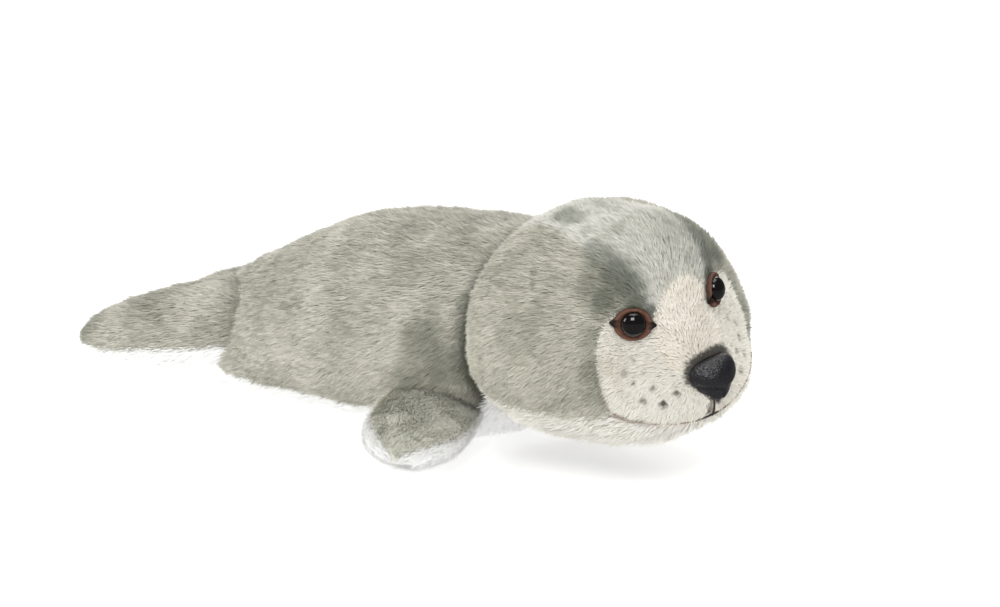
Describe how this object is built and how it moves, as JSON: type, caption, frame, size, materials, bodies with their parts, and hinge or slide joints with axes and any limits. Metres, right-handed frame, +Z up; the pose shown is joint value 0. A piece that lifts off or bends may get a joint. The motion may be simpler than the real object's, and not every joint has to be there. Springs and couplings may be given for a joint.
{
  "type": "plush toy",
  "caption": "Soft toy seal pup lying on its belly, with short grey, cream and white plush, domed eyes and a leather-look nose.",
  "frame": {"origin": "middle of the toy's outline on the floor it lies on", "axes": "+X from the hind flippers towards the head, +Y to the animal's left, +Z up"},
  "size_m": [0.4084, 0.2422, 0.1315],
  "materials": {
    "plush_grey": "short grey pile with darker airbrushed patches",
    "plush_cream": "short cream pile",
    "plush_white": "short white pile",
    "fibre_filling": "loose polyester fibre filling",
    "eye_plastic": "glossy black",
    "brown_leather_look": "brown leather-look sheet",
    "nose_leather_look": "black leather-look, semi-gloss",
    "thread": "brown sewing thread",
    "washer_plastic": "plain moulded plastic"
  },
  "bodies": {
    "root": {"torso_side_left": "plush_grey", "torso_side_right": "plush_grey", "crown_gusset": "plush_grey", "cheek_left": "plush_grey", "cheek_right": "plush_grey", "front_flipper_left_upper": "plush_grey", "front_flipper_right_upper": "plush_grey", "hind_flipper_left_upper": "plush_grey", "hind_flipper_right_upper": "plush_grey", "face_bridge": "plush_cream", "muzzle_left": "plush_cream", "muzzle_right": "plush_cream", "belly_panel": "plush_white", "chin_panel": "plush_white", "front_flipper_left_lower": "plush_white", "front_flipper_right_lower": "plush_white", "hind_flipper_left_lower": "plush_white", "hind_flipper_right_lower": "plush_white", "torso_stuffing": "fibre_filling", "head_stuffing": "fibre_filling", "front_flipper_left_stuffing": "fibre_filling", "front_flipper_right_stuffing": "fibre_filling", "hind_flipper_left_stuffing": "fibre_filling", "hind_flipper_right_stuffing": "fibre_filling", "eye_left": "eye_plastic", "eye_right": "eye_plastic", "eye_rim_left": "brown_leather_look", "eye_rim_right": "brown_leather_look", "nose": "nose_leather_look", "mouth_stitch": "thread", "eye_washer_left": "washer_plastic", "eye_washer_right": "washer_plastic"}
  },
  "joints": []
}
